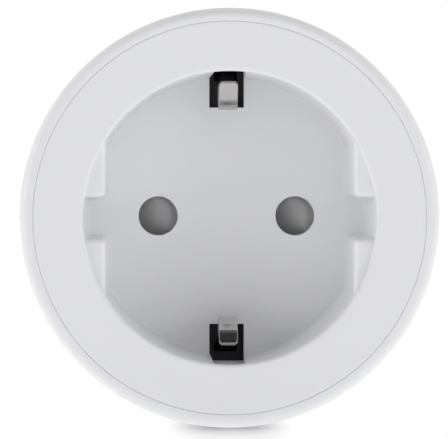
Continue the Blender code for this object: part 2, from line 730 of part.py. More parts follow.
def make_relay():
    middle = sum(RELAY_Z) / 2
    case = block("relay_case", (-RELAY_X, RELAY_X), (RELAY_FRONT, PARTS_BASE), RELAY_Z, RELAY_BLUE)
    inner_x = (RELAY_WALL - RELAY_X, RELAY_X - RELAY_WALL)
    inner_z = (RELAY_Z[0] + RELAY_WALL, RELAY_Z[1] - RELAY_WALL)
    cut(case, block("relay_hollow", inner_x, (RELAY_FRONT + RELAY_WALL, PARTS_BASE + 1), inner_z))
    base_x = (inner_x[0] + GAP, inner_x[1] - GAP)
    base_z = (inner_z[0] + GAP, inner_z[1] - GAP)
    block("relay_base", base_x, (40.9, PARTS_BASE), base_z, CHIP_BLACK)
    profile = [(0, -6.5), (4.0, -6.5), (4.0, -5.7), (3.3, -5.7), (3.3, 3.0), (4.0, 3.0), (4.0, 3.8), (0, 3.8)]
    coil = turned("relay_coil", [(r, x - FRONT_Y) for r, x in profile], COIL_COPPER, segments=20)
    coil.rotation_euler = (0, 0, -pi / 2)
    coil.location = at(0, 35.6, middle)
    plate_x = (ARMATURE_X - 0.4, ARMATURE_X + 0.4)
    plate_depth = (31.0, ARMATURE_PIVOT + 0.6)
    armature = block("relay_armature", plate_x, plate_depth, (middle - 3, middle + 3), STEEL)
    set_origin(armature, ARMATURE_X, ARMATURE_PIVOT, middle)


def make_radio():
    block("radio_board", (-9, 9), (27.5, PARTS_BASE), (14.9, 15.9), BOARD_GREEN)
    block("radio_shield", (-6.5, 6.5), (29, 38.5), (12.5, 14.6), STEEL, bevel=0.4)


def make_capacitors():
    block("filter_capacitor", (-19.3, -11.7), (31, PARTS_BASE), (5.6, 12.8), FILM_YELLOW, bevel=0.5)
    profile = [(0, 30.8), (2.7, 30.8), (3.15, 31.3), (3.15, 40.6), (2.8, 41.0), (3.15, 41.4)]
    profile += [(3.15, PARTS_BASE), (0, PARTS_BASE)]
    turned("smoothing_capacitor", profile, CAP_SLEEVE, (15.2, 9.0), SMALL_ROUND)


def make_varistor():
    disc = rod("varistor", 3.7, (36.0, -9.2), (-16.7, -13.7), VARISTOR_BLUE, "X")
    round_edges(disc, 0.7)
    for i, z in enumerate((-11.7, -6.7)):
        fuse(disc, rod(f"varistor_lead_{i}", 0.35, (-15.2, z), (37, PARTS_BASE), segments=8))


def make_choke():
    profile = [(0, 33.0), (3.6, 33.0), (3.6, 34.4), (2.7, 34.9), (2.7, 40.4), (3.6, 40.9)]
    profile += [(3.6, PARTS_BASE), (0, PARTS_BASE)]
    turned("choke_inductor", profile, FERRITE, (15.5, -9.0), SMALL_ROUND)


def make_resistors():
    ends = [(0, 33.5), (1.2, 33.5), (1.6, 34.3), (1.6, 40.8), (1.2, 41.6), (1.2, PARTS_BASE), (0, PARTS_BASE)]
    turned("fusible_resistor", ends, RESISTOR_BODY, (20.5, -2.0), 16)
    legs = [(PARTS_BASE, -3.0), (39.4, -3.0), (39.4, 3.0), (PARTS_BASE, 3.0)]
    strip("shunt_resistor", rounded(legs, 0.9), 2.6, 0.7, MANGANIN, -19.5)


def make_chips():
    back = (BOARD_END + GAP, BOARD_END + 2.1)
    block("metering_chip", (17.5, 21.5), (40.8, PARTS_BASE), (0.8, 5.0), CHIP_BLACK)
    block("power_converter_chip", (2.5, 7.0), back, (-10, -6), CHIP_BLACK)
    block("bridge_rectifier", (-7.0, -2.0), back, (-10, -5.5), CHIP_BLACK)
    block("indicator_led", (LIGHT_X - 1.4, LIGHT_X + 1.4), (35.6, PARTS_BASE), (17.5, 19.3), LED_WHITE)


def make_button():
    """The button's stem rests on the plunger of a switch that stands on the board."""
    span = (25.0, BARREL_RADIUS + BUTTON_PROUD)
    button = rod("power_button", BUTTON_RADIUS, (0, BUTTON_DEPTH), span, WHITE, "Z", 32)
    fuse(button, rod("button_flange", BUTTON_RADIUS + 1, (0, BUTTON_DEPTH), (24.75, 25.35), None, "Z", 32))
    switch = block("tact_switch", (-3, 3), (34.4, PARTS_BASE), (19.2, 23.8), CHIP_BLACK)
    cut(switch, rod("plunger_bore", 1.9, (0, BUTTON_DEPTH), (22.6, 25), axis="Z", segments=20))
    rod("tact_plunger", 1.6, (0, BUTTON_DEPTH), (23.1, 24.65), GREY, "Z", 20)
    rod("light_pipe", 1.0, (LIGHT_X, BUTTON_DEPTH), (19.6, LIGHT_TOP), CLEAR, "Z", 16)


make_barrel_casing()
make_socket_face()
make_rear_cover()
make_screws("casing_screw", POST_PLACES, 45.8, 0, 1.05, 1.95, 1.5, 13.0)
make_screws("retainer_screw", [(0, z) for z in RETAINER_Z], 56.9, pi, 0.8, 1.8, 1.2, 4.9)
make_plug_pins()
make_pin_retainer()
make_plug_earth()
make_contact_carrier()
make_shutter()
make_shutter_spring()
make_pin_contacts()
make_earth_clips()
make_earth_bridge()
make_earth_wire()
make_main_board()
make_relay()
make_radio()
make_capacitors()
make_varistor()
make_choke()
make_resistors()
make_chips()
make_button()
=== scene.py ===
"""Looks of the round plug-in power meter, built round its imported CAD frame.

The barrel lies along Y with the socket at -Y. Shapes are drawn from (x, depth, z) points in millimetres,
where depth is measured from the barrel's front end towards the plug. The meshes are in metres.
"""

import json
from math import cos, hypot, pi, radians, sin, sqrt, tan

import bmesh
import bpy
import numpy as np
from mathutils import Matrix, Vector


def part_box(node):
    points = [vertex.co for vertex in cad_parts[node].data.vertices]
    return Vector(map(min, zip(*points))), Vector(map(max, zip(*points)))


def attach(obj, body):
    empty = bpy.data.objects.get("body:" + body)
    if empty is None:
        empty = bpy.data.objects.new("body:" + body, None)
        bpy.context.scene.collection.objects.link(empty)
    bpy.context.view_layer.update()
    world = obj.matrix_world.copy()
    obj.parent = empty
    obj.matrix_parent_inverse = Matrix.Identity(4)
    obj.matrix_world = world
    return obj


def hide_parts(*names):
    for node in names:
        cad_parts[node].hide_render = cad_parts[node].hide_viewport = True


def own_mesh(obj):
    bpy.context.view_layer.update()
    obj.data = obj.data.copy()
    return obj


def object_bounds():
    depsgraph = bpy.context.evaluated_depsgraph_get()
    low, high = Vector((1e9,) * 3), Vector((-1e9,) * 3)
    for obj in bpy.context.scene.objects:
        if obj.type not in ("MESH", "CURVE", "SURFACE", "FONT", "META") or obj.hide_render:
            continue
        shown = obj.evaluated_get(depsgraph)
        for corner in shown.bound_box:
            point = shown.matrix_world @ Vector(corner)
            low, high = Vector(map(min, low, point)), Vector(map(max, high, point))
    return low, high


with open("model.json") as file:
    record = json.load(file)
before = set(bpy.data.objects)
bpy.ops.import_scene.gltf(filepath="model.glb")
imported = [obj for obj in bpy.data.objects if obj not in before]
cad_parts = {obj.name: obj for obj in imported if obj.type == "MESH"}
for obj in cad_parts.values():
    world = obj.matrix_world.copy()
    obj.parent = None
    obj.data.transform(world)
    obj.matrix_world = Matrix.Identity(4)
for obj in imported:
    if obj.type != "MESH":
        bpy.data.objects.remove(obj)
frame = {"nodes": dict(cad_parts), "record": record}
cad_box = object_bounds()

MM = 0.001
COLUMNS = 256

# ---- Sizes taken from the frame ------------------------------------------------------------------

FRONT_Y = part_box("barrel_casing")[0].y / MM


def box_mm(node):
    """A node's lowest and highest corners as (x, depth, z) in millimetres."""
    low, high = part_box(node)
    front = Vector((0, FRONT_Y, 0))
    return low / MM - front, high / MM - front


casing_high = box_mm("barrel_casing")[1]
cover_low, cover_high = box_mm("rear_cover")
pin_low, pin_high = box_mm("plug_pin_line")
shutter_low, shutter_high = box_mm("shutter")
button_low, button_high = box_mm("power_button")
light_low, light_high = box_mm("light_pipe")
BARREL_RADIUS = casing_high.x
CASING_END = casing_high.y
PLUG_END = cover_high.y
PIN_X = (pin_low.x + pin_high.x) / 2
PIN_TIP = pin_high.y
POST_END = box_mm("socket_face")[1].y
BUTTON_DEPTH = (button_low.y + button_high.y) / 2
LIGHT_X = (light_low.x + light_high.x) / 2
LIGHT_RADIUS = (light_high.x - light_low.x) / 2

# ---- Sizes of the casing and the socket face -----------------------------------------------------

EDGE_RADIUS = 1.3
BARREL_STATIONS = (12, 22, 30)
CASING_BORE = 26.3
FACE_SEAT_RADIUS = 26.35
# A ledge inside the casing stands behind the socket face.
LEDGE_RADIUS = 25.75
LEDGE_DEPTHS = (2.3, 4.5)
REAR_SEAM_EDGE = 0.15
SEAM_RADIUS = 26.2
SEAM_GAP = 0.03
SEAM_CHAMFER = 0.09
SEAM_STEP = 0.4
FACE_SIDE_RADIUS = SEAM_RADIUS - 0.2
FACE_THICKNESS = 2.0
RIM_RADIUS = 20.0
RIM_FILLET = 0.45
RECESS_RADIUS = RIM_RADIUS - RIM_FILLET
# Degrees: start, end and step of each stretch, finest at the ribs' edges.
RECESS_ANGLES = ((0, 7.5, 1.25), (7.5, 12.6, 0.17), (12.6, 27, 1.2), (27, 37, 0.6), (37, 90, 1.2))
WALL_STATIONS = (14.0, 9.0, 4.0)
FLOOR_RADIUS = 19.25
FLOOR_CORE = 9.0
RECESS_DEPTH = 17.5
FLOOR_FILLET = 0.35
FLOOR_BACK = 19.5
CUP_RADIUS = 21.2
RIB_X = 16.5
RIB_TOP = 1.0
RIB_EDGE = 0.6
RIB_CORNER = 0.8
RIB_ROOT = 0.3
RIB_TAPER = 0.08
SLOT_HALF = 2.75
PIN_HOLE_RADIUS = 2.7
PIN_HOLE_LIP = 0.15
# Half widths of a window in the floor and of its groove at the rim, then the window's reach along Z.
WINDOW_HALF, GROOVE_HALF = 2.4, 2.1
WINDOW_INNER, WINDOW_OUTER = 15.0, 20.2
POST_XZ = 16.0
POSTS = [(x, z) for x in (-POST_XZ, POST_XZ) for z in (-POST_XZ, POST_XZ)]
POST_RADIUS = 2.1
POST_START = 1.0
SCREW_BORE = 1.3
BORE_LENGTH = 8.0
STAKES = ((-12.0, 9.0), (12.0, -9.0))
STAKE_RADIUS = 1.1
STAKE_END = 27.0

# ---- Sizes of the shutter and its spring ---------------------------------------------------------

SHUTTER_TRAVEL = 5.8
PLATE_SET_BACK = 0.75
PLATE_CORNER = 2.0
PLATE_BEVEL = 0.12
TAB_X = (-3.5, -1.5)
WELL_RADIUS = 2.9
WELL_END = 22.0
OPENING_DEPTHS = (19.0, 24.0)
# Each pad fills its well: a crest with a ramp to one side and a ledge around.
PAD_REACH = 2.95
PAD_RINGS = 48
PAD_DEPTH = 19.8
PAD_BACK_INSET = 0.3
CREST = (-0.35, 0.3)
CREST_RADIUS = 2.4
CREST_EDGE = 0.3
DOME = 0.02
RAMP_START = 0.7
RAMP_SLOPE = 0.55
RAMP_TURN = 25
RAMP_SOFTNESS = 0.8
LEDGE_DEPTH = 20.1
SPRING_WIRE = 0.18
SPRING_TURNS = 7
SPRING_STEPS = 24
WIRE_COLUMNS = 8

# ---- Sizes of the earth clips and the plug's earth contacts --------------------------------------

CLIP_THICKNESS = 0.6
CLIP_LEG_HALF = 1.1
CLIP_WIDENS_AFTER = 9.0
CLIP_WIDENS_OVER = 6.0
CLIP_CORNER = 0.6
# The leg turns in at the knee; the bend of each clip's bump has its own radius.
CLIP_KNEE = 21.0
KNEE_BEND = 2.0
CLIP_BENDS = {"upper": 3.0, "lower": 4.6}
# The bump's corner before rounding: depth and distance from the leg, and what each mm of bend adds.
BUMP_CORNER = (9.56, 4.25)
BUMP_CORNER_RATE = (0.27, 0.375)
CLIP_TIP = (7.4, 1.15)
CLIP_HOLE_RADIUS = 1.0
CLIP_HOLE_DEPTH = 28.5
STRIP_BEND = 0.8

# ---- Sizes of the button and the light -----------------------------------------------------------

HOLE_EDGE = 0.25
HOLE_START = 20.0
BUTTON_FLANGE = 1.0
BUTTON_RADIUS = (button_high.x - button_low.x) / 2 - BUTTON_FLANGE
BUTTON_GAP = 0.2
BUTTON_RIM = 0.45
FLANGE_HEIGHT = 0.6
DISH_DEPTH = 0.35
DISH_SHARE = 0.85
LIGHT_GAP = 0.1
LIGHT_DOME = 0.5

# ---- Sizes of the rear cover and the plug --------------------------------------------------------

COVER_START = 44.9
BARREL_LENGTH = 48.0
SPIGOT_INNER, SPIGOT_OUTER = 24.9, 25.9
BOSS_ANGLES = (
    (0, 6, 1.5),
    (6, 12, 0.25),
    (12, 26, 1.4),
    (26, 34, 0.5),
    (34, 76, 1.4),
    (76, 83, 0.12),
    (83, 90, 1),
)
BOSS_RADIUS = 18.6
BOSS_CORE = 8.0
BOSS_FLAT = 16.1
BOSS_RIB_HALF = 2.45
BOSS_EDGE = 0.5
BOSS_FOOT = 0.3
BOSS_CORNER = 0.3
FLAT_CORNER = 0.4
CHANNEL_HALF = 3.0
CHANNEL_FLOOR = 14.3
HOLLOW_ANGLES = ((0, 60, 2), (60, 74, 0.5), (74, 90, 2))
END_WALL = 2.0
HOLLOW_END = PLUG_END - END_WALL
# Walls between the hollow and the boss's rim, flats and channels.
ROUND_WALL = 2.2
FLAT_WALL = 2.1
CHANNEL_WALL = 1.9
CHANNEL_SIDE_WALL = 1.5
TUBE_GAP = 0.3
TUBE_RADIUS = 2.4
TUBE_FOOT_RADIUS = 3.0
TUBE_FOOT_DEPTHS = (44.5, 46.0)
HEAD_RECESS_RADIUS = 2.2
HEAD_SEAT = 45.5
RETAINER_Z = (3.0, -5.0)
RETAINER_POST_RADIUS = 1.9
RETAINER_POST_START = 60.0
RETAINER_BORE = 1.1
RETAINER_BORE_DEPTHS = (59.0, 62.2)
COVER_PIN_HOLE = 2.5
EARTH_HOLE_Z = 10.0
EARTH_HOLE_RADIUS = 2.55
EARTH_HOLE_CHAMFER = 0.4
RELIEF_RADIUS = 3.3
RELIEF_START = 52.0
STRIP_SLOT_X = (-2.3, 2.3)
STRIP_SLOT_DEPTHS = (49.9, 51.5)
STRIP_SLOT_Z = (12.0, 17.0)
PIN_RADIUS = 2.4
PIN_DOME = 2.0
PIN_CHAMFER = 0.1
PIN_TAIL_RADIUS = 1.2
PIN_TAIL_START = 42.0
PIN_FLANGE_RADIUS = 3.4
PIN_FLANGE_DEPTHS = (60.0, 62.5)
# Head height and shaft radius of each kind of screw.
SCREW_SIZES = {"casing": (1.5, 1.05), "retainer": (1.2, 0.8)}
SCREW_POINT = 1.8
THREAD_PITCH = 0.5
HEAD_ROUND = 0.7
CROSS_REACH = 0.55
CROSS_HALF = 0.24

# ---- Camera, floor and light ---------------------------------------------------------------------

CAMERA_DISTANCE = 400.0
CAMERA_LEFT = 11.1
CAMERA_UP = 7.1
AIM = (-0.81, -0.19)
LENS = 241.9
FLOOR_HALF_M = 6.0
# Tones just above white, so that the floor and the background meet without a line.
FLOOR_TONE = 1.02
BACKGROUND_TONE = 1.05
FLOOR_GLOW = 0.33
# The shadow is darkest up to the first distance from the barrel's line and gone at the second.
SHADOW_HALF = (2.0, 9.3)
SHADOW_REACH = 9.0
SHADOW_STRENGTH = 0.57
# Degrees round from the front towards +X, degrees up, focus and strength of each light.
SOFT_LIGHTS = {
    "front": (18, 4, 12, 1.05),
    "side left": (-66, 4, 12, 3.5),
    "side right": (66, 4, 12, 3.0),
    "back": (180, 50, 8, 0.9),
    "back left": (-120, 35, 10, 1.6),
    "back right": (120, 35, 10, 1.6),
}


def at(x, depth, z):
    """The world place of an (x, depth, z) point given in millimetres."""
    return Vector((x, FRONT_Y + depth, z)) * MM


# ---- Materials -----------------------------------------------------------------------------------


class Nodes:
    """Adds nodes to one node tree."""

    def __init__(self, tree):
        self.tree = tree

    def add(self, kind, **settings):
        node = self.tree.nodes.new(kind)
        for name, value in settings.items():
            setattr(node, name, value)
        return node

    def link(self, out, into):
        self.tree.links.new(out, into)

    def math(self, operation, a, b=0.0):
        node = self.add("ShaderNodeMath", operation=operation)
        for socket, value in zip(node.inputs, (a, b)):
            if isinstance(value, (int, float)):
                socket.default_value = value
            else:
                self.link(value, socket)
        return node.outputs[0]

    def ramp(self, value, low, high, to_low, to_high):
        """Maps a value from one range to another, with soft ends."""
        node = self.add("ShaderNodeMapRange", interpolation_type="SMOOTHSTEP")
        self.link(value, node.inputs["Value"])
        for name, number in (("From Min", low), ("From Max", high), ("To Min", to_low), ("To Max", to_high)):
            node.inputs[name].default_value = number
        return node.outputs["Result"]

    def noise(self, vector, scale, detail, stretch=None):
        """Noise with features of about 1/scale millimetres."""
        mapping = self.add("ShaderNodeMapping")
        mapping.inputs["Scale"].default_value = [s * scale / MM for s in (stretch or (1, 1, 1))]
        self.link(vector, mapping.inputs["Vector"])
        noise = self.add("ShaderNodeTexNoise")
        noise.inputs["Scale"].default_value = 1.0
        noise.inputs["Detail"].default_value = detail
        self.link(mapping.outputs[0], noise.inputs["Vector"])
        return noise.outputs["Fac"]


def surface(
    name,
    color,
    roughness,
    metallic=0.0,
    grain=8.0,
    grain_height=0.004,
    mottle=0.03,
    stretch=None,
    **more,
):
    """A Principled material with fine grain in its bump and roughness and a slow mottle in its colour.

    grain is in features per millimetre and grain_height in millimetres.
    """
    material = bpy.data.materials.new(name)
    material.use_nodes = True
    nodes = Nodes(material.node_tree)
    shader = material.node_tree.nodes["Principled BSDF"]
    place = nodes.add("ShaderNodeTexCoord").outputs["Object"]
    fine = nodes.noise(place, grain, 4.0, stretch)
    slow = nodes.noise(place, MOTTLE_SCALE, 2.0)
    mix = nodes.add("ShaderNodeMix", data_type="RGBA")
    mix.inputs["A"].default_value = (*[max(0.0, c * (1 - mottle)) for c in color], 1)
    mix.inputs["B"].default_value = (*[min(1.0, c * (1 + mottle)) for c in color], 1)
    nodes.link(slow, mix.inputs["Factor"])
    nodes.link(mix.outputs["Result"], shader.inputs["Base Color"])
    low, high = roughness * (1 - GLOSS_CHANGE), roughness * (1 + GLOSS_CHANGE)
    nodes.link(nodes.ramp(fine, 0.3, 0.7, low, high), shader.inputs["Roughness"])
    bump = nodes.add("ShaderNodeBump")
    bump.inputs["Strength"].default_value = 1.0
    bump.inputs["Distance"].default_value = grain_height * MM
    nodes.link(fine, bump.inputs["Height"])
    nodes.link(bump.outputs["Normal"], shader.inputs["Normal"])
    shader.inputs["Metallic"].default_value = metallic
    for key, value in more.items():
        shader.inputs[key.replace("_", " ")].default_value = value
    return material


def metal(name, color, roughness, stretch, grain=3, grain_height=0.003, mottle=0.06):
    """A bare metal, with its grain drawn out or packed closer along each axis by the stretch."""
    look = {"grain": grain, "grain_height": grain_height, "mottle": mottle, "stretch": stretch}
    return surface(name, color, roughness, metallic=1.0, **look)


MOTTLE_SCALE = 0.12
GLOSS_CHANGE = 0.12
WHITE = (0.925, 0.928, 0.945)
MATERIALS = {
    "white_plastic": surface(
        "satin_white_polycarbonate", WHITE, 0.38, grain=5, grain_height=0.003, mottle=0.006
    ),
    "clear_plastic": surface(
        "clear_acrylic", (0.9, 0.92, 0.94), 0.08, grain_height=0.001, Transmission_Weight=0.85
    ),
    "zinc_steel": metal("zinc_plate", (0.60, 0.61, 0.63), 0.32, (1, 6, 1)),
    "black_plastic": surface("black_polyamide", (0.095, 0.097, 0.105), 0.5, grain=4, mottle=0.1),
    "grey_plastic": surface("grey_acetal", (0.47, 0.47, 0.475), 0.42, grain=5, mottle=0.04),
    "brass": metal("stamped_brass", (0.78, 0.56, 0.24), 0.3, (1, 5, 1)),
    "nickel": metal("nickel_plate", (0.58, 0.568, 0.562), 0.2, (1, 6, 1), grain_height=0.0015, mottle=0.03),
    "wire_sleeve": surface("vinyl_wire_sleeve", (0.30, 0.52, 0.06), 0.45, grain=3),
    "board_laminate": surface(
        "solder_mask", (0.012, 0.14, 0.05), 0.3, grain=2, grain_height=0.006, mottle=0.15
    ),
    "relay_plastic": surface("relay_case_plastic", (0.02, 0.09, 0.36), 0.35, grain=4),
    "moulded_epoxy": surface("moulded_epoxy", (0.014, 0.014, 0.014), 0.6, grain=6, grain_height=0.01),
    "coil_copper": metal(
        "coil_winding", (0.62, 0.24, 0.09), 0.35, (7, 0.2, 0.2), grain=1, grain_height=0.06, mottle=0.1
    ),
    "film_capacitor_case": surface("film_capacitor_case", (0.72, 0.55, 0.07), 0.4, grain=4),
    "varistor_coating": surface(
        "varistor_coating", (0.04, 0.11, 0.42), 0.38, grain=1.2, grain_height=0.03
    ),
    "resistor_coating": surface(
        "resistor_coating", (0.33, 0.44, 0.41), 0.5, grain=2, grain_height=0.02
    ),
    "shunt_alloy": metal("manganin_strip", (0.56, 0.37, 0.26), 0.35, (1, 1, 5), mottle=0.08),
    "led_package": surface("led_package", (0.86, 0.82, 0.62), 0.4, grain=5),
}
SLOTS = {part["node"]: part["material_slot"] for part in frame["record"]["subparts"]}
BODIES = {node: body for body, members in frame["record"]["behaviour"]["bodies"].items() for node in members}


def paint_frame():
    """Gives each CAD node the material of its slot."""
    for name, node in frame["nodes"].items():
        node.data.materials.clear()
        node.data.materials.append(MATERIALS[SLOTS[name]])


# ---- Mesh helpers --------------------------------------------------------------------------------


def from_mesh(name, mesh):
    obj = bpy.data.objects.new(name, mesh)
    bpy.context.scene.collection.objects.link(obj)
    return obj


def shaded(obj, angle=32):
    """Smooth shading that stays sharp at edges steeper than the angle."""
    obj.data.shade_smooth()
    obj.data.set_sharp_from_angle(angle=radians(angle))
    return obj


def loft(name, rings, closed_tube=False):
    """Joins rings of (x, depth, z) points by quads. The two ends are capped, or joined to each other."""
    count = len(rings[0])
    points = [at(*point) for ring in rings for point in ring]
    pairs = list(zip(range(len(rings)), range(1, len(rings))))
    if closed_tube:
        pairs.append((len(rings) - 1, 0))
    faces = []
    for a, b in pairs:
        for i in range(count):
            j = (i + 1) % count
            faces.append((a * count + i, a * count + j, b * count + j, b * count + i))
    if not closed_tube:
        faces.append(tuple(range(count)))
        faces.append(tuple(range((len(rings) - 1) * count, len(rings) * count)))
    mesh = bpy.data.meshes.new(name)
    mesh.from_pydata(points, [], faces)
    bm = bmesh.new()
    bm.from_mesh(mesh)
    bmesh.ops.remove_doubles(bm, verts=bm.verts, dist=1e-7)
    bmesh.ops.recalc_face_normals(bm, faces=bm.faces)
    bm.to_mesh(mesh)
    bm.free()
    return shaded(from_mesh(name, mesh))


def ring(radius, depth, columns=COLUMNS, centre=(0.0, 0.0)):
    """A round ring of points across Y."""
    angles = [2 * pi * i / columns for i in range(columns)]
    return [(centre[0] + radius * cos(a), depth, centre[1] + radius * sin(a)) for a in angles]


def turned(name, profile, columns=COLUMNS, centre=(0.0, 0.0)):
    """A solid turned about an axis along Y, from (radius, depth) points that start and end near the axis."""
    return loft(name, [ring(max(radius, 0.02), depth, columns, centre) for radius, depth in profile])


def turned_tube(name, profile, columns=COLUMNS, centre=(0.0, 0.0)):
    """A ring-shaped solid turned from a closed profile."""
    rings = [ring(radius, depth, columns, centre) for radius, depth in profile]
    return loft(name, rings, closed_tube=True)


def cylinder(name, radius, start, end, columns, centre=(0.0, 0.0)):
    """A plain round bar along Y."""
    return turned(name, ((0, start), (radius, start), (radius, end), (0, end)), columns, centre)


def stand_up(obj, x, depth, z=0.0):
    """Turns a shape drawn along +depth so that it points along +Z from the given place, and applies that."""
    turn = Matrix.Rotation(pi / 2, 4, "X")
    obj.data.transform(Matrix.Translation(at(x, depth, z)) @ turn @ Matrix.Translation(-at(0, 0, 0)))
    return obj


def arc(centre, radius, start, end, steps):
    """Points of an arc from one angle to another, in degrees."""
    angles = [radians(start + (end - start) * i / steps) for i in range(steps + 1)]
    return [(centre[0] + radius * cos(a), centre[1] + radius * sin(a)) for a in angles]


def block(name, x_range, depth_range, z_range):
    """A plain box, used as a cutter."""
    (x0, x1), (z0, z1) = x_range, z_range
    outline = ((x0, z0), (x1, z0), (x1, z1), (x0, z1))
    return loft(name, [[(x, depth, z) for x, z in outline] for depth in depth_range])


def boolean(target, others, operation):
    """Applies Booleans to the target and removes the other shapes."""
    for other in others:
        modifier = target.modifiers.new(other.name, "BOOLEAN")
        modifier.operation = operation
        modifier.solver = "EXACT"
        modifier.object = other
    applied(target)
    for other in others:
        bpy.data.objects.remove(other, do_unlink=True)
    return shaded(target)


def applied(obj):
    """Turns an object's modifiers into its mesh."""
    graph = bpy.context.evaluated_depsgraph_get()
    mesh = bpy.data.meshes.new_from_object(obj.evaluated_get(graph))
    obj.modifiers.clear()
    obj.data = mesh
    return obj


def fine_bevel(obj, width, segments=3, angle=40):
    """Rounds an object's sharp edges."""
    bevel = obj.modifiers.new("rounding", "BEVEL")
    bevel.width = width * MM
    bevel.segments = segments
    bevel.limit_method = "ANGLE"
    bevel.angle_limit = radians(angle)
    return shaded(applied(obj))


def cut(target, *others):
    return boolean(target, others, "DIFFERENCE")


def fuse(target, *others):
    return boolean(target, others, "UNION")


def stand_in(obj, node):
    """Shows a piece in place of a CAD node, on the same body and with the same material."""
    obj.data.materials.clear()
    obj.data.materials.append(MATERIALS[SLOTS[node]])
    weighted = obj.modifiers.new("even_normals", "WEIGHTED_NORMAL")
    weighted.keep_sharp = True
    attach(obj, BODIES[node])
    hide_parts(node)
    return obj


# ---- Outlines solved in polar form ---------------------------------------------------------------


def soft_max(a, b, radius):
    """The higher of two distances, with a rounded corner where they cross."""
    u, v = np.maximum(a + radius, 0), np.maximum(b + radius, 0)
    return np.minimum(np.maximum(a, b), -radius) + np.hypot(u, v)


def soft_min(a, b, radius):
    """The lower of two distances, with a rounded corner where they cross."""
    return -soft_max(-a, -b, radius)


def smooth_share(value):
    """A share from 0 to 1 that starts and ends softly."""
    share = min(max(value, 0.0), 1.0)
    return share * share * (3 - 2 * share)


def polar_radius(angles, distance, offset=0.0, low=4.0, high=40.0):
    """The radius in each direction where a distance function, negative near the axis, reaches an offset."""
    low, high = np.full_like(angles, low), np.full_like(angles, high)
    for _ in range(36):
        middle = (low + high) / 2
        beyond = distance(middle * np.cos(angles), middle * np.sin(angles)) > offset
        low, high = np.where(beyond, low, middle), np.where(beyond, middle, high)
    return (low + high) / 2


def radius_ring(angles, radii, depth):
    """A ring of points across Y with its own radius in each direction."""
    radii = np.broadcast_to(radii, angles.shape)
    return [(r * cos(a), depth, r * sin(a)) for r, a in zip(radii, angles)]


def spaced_angles(*stretches):
    """Angles round the axis from (start, end, step) stretches of one quadrant, mirrored into the others."""
    quarter = np.concatenate([np.arange(start, end - 1e-6, step) for start, end, step in stretches])
    quarter = np.append(quarter, 90.0)
    turns = np.concatenate([quarter, 180 - quarter, 180 + quarter, 360 - quarter]) % 360
    return np.radians(np.unique(np.round(turns, 6)))


# ---- Socket face ---------------------------------------------------------------------------------


def recess_distance(depth):
    """The recess at one depth: a slightly tapered round wall with a pair of guide ribs on either side."""
    rise = (RECESS_DEPTH - depth) / RECESS_DEPTH
    wall = FLOOR_RADIUS + (RECESS_RADIUS - FLOOR_RADIUS) * rise
    chord = RIB_X + RIB_TAPER * rise

    def distance(x, z):
        slot = soft_min(np.abs(x) - chord, np.abs(z) - SLOT_HALF, RIB_CORNER)
        return soft_max(np.hypot(x, z) - wall, slot, RIB_ROOT)

    return distance


def socket_face_body():
    angles = spaced_angles(*RECESS_ANGLES)

    def recess(depth, offset=0.0):
        return radius_ring(angles, polar_radius(angles, recess_distance(depth), offset), depth)

    def circle(radius, depth):
        return radius_ring(angles, radius, depth)

    rings = [circle(FLOOR_CORE, RECESS_DEPTH), recess(RECESS_DEPTH, -FLOOR_FILLET * 1.6)]
    for inset, rise in arc((FLOOR_FILLET, FLOOR_FILLET), FLOOR_FILLET, 270, 180, 4):
        rings.append([(x, RECESS_DEPTH - rise, z) for x, _, z in recess(RECESS_DEPTH, -inset)])
    rings += [recess(depth) for depth in (*WALL_STATIONS, RIB_TOP + RIB_EDGE + 0.3)]
    for inward, drop in arc((RIB_EDGE, RIB_EDGE), RIB_EDGE, 180, 270, 6):
        rings.append([(x, RIB_TOP + drop, z) for x, _, z in recess(RIB_TOP, inward)])
    rings += [circle(RECESS_RADIUS, RIB_TOP - 0.02), circle(RECESS_RADIUS, RIM_FILLET + 0.1)]
    rings += [circle(*point) for point in arc((RIM_RADIUS, RIM_FILLET), RIM_FILLET, 180, 270, 8)]
    edge = SEAM_RADIUS - SEAM_GAP / 2
    rings += [circle(RIM_RADIUS + 0.3, 0), circle(edge - 0.4, 0)]
    chamfer = arc((edge - SEAM_CHAMFER, SEAM_CHAMFER), SEAM_CHAMFER, 270, 360, 4)
    rings += [circle(*point) for point in chamfer]
    back = [(edge, SEAM_STEP), (FACE_SIDE_RADIUS, SEAM_STEP + 0.1), (FACE_SIDE_RADIUS, FACE_THICKNESS)]
    back += [(CUP_RADIUS, FACE_THICKNESS), (CUP_RADIUS, FLOOR_BACK), (FLOOR_CORE, FLOOR_BACK)]
    rings += [circle(*point) for point in back]
    return loft("socket_face_front", rings)


def pin_hole_cutter(side):
    """A round cutter that widens at the recess floor, to round the hole's edge."""
    wide, lip = PIN_HOLE_RADIUS + PIN_HOLE_LIP, PIN_HOLE_LIP
    profile = [(0, RECESS_DEPTH - 1), (wide, RECESS_DEPTH - 1)]
    profile += arc((wide, RECESS_DEPTH + lip), lip, 270, 180, 4)
    profile += [(PIN_HOLE_RADIUS, FLOOR_BACK + 1), (0, FLOOR_BACK + 1)]
    return turned(f"pin_hole_{side}", profile, 96, (side * PIN_X, 0))


def window_cutter(sign):
    """An earth clip's opening in the floor, with a groove up the wall that narrows towards the rim."""
    rings = []
    stations = ((GROOVE_HALF, RIM_FILLET), (WINDOW_HALF, RECESS_DEPTH), (WINDOW_HALF, FLOOR_BACK + 1))
    for half, depth in stations:
        corners = ((-half, WINDOW_INNER), (half, WINDOW_INNER), (half, WINDOW_OUTER), (-half, WINDOW_OUTER))
        rings.append([(x, depth, sign * z) for x, z in corners])
    return loft(f"window_{sign}", rings)


